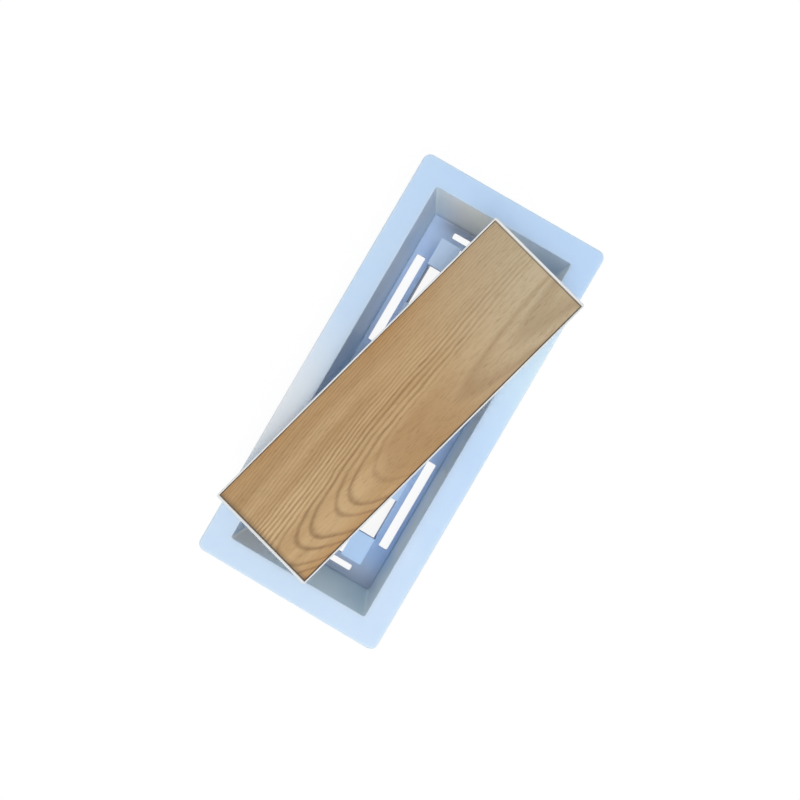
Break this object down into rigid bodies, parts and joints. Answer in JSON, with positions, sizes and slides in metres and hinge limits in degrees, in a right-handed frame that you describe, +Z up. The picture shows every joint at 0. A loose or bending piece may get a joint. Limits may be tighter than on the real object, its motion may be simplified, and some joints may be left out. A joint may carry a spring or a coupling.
{
  "type": "floor register",
  "caption": "Flush drop-in floor register: a moulded pan with a wide flange, slotted well and raised seat, and a loose tray insert that carries a plank of wood-look flooring.",
  "frame": {"origin": "centre of the pan's underside", "axes": "+X along the pan, +Y across it, +Z up, out of the floor"},
  "size_m": [0.2784, 0.1278, 0.0724],
  "materials": {
    "pan_plastic": "satin moulded",
    "tray_plastic": "satin moulded",
    "plank_wood": "matt wood-look"
  },
  "bodies": {
    "root": {"register_pan": "pan_plastic", "insert_tray": "tray_plastic", "floor_plank": "plank_wood"}
  },
  "joints": []
}
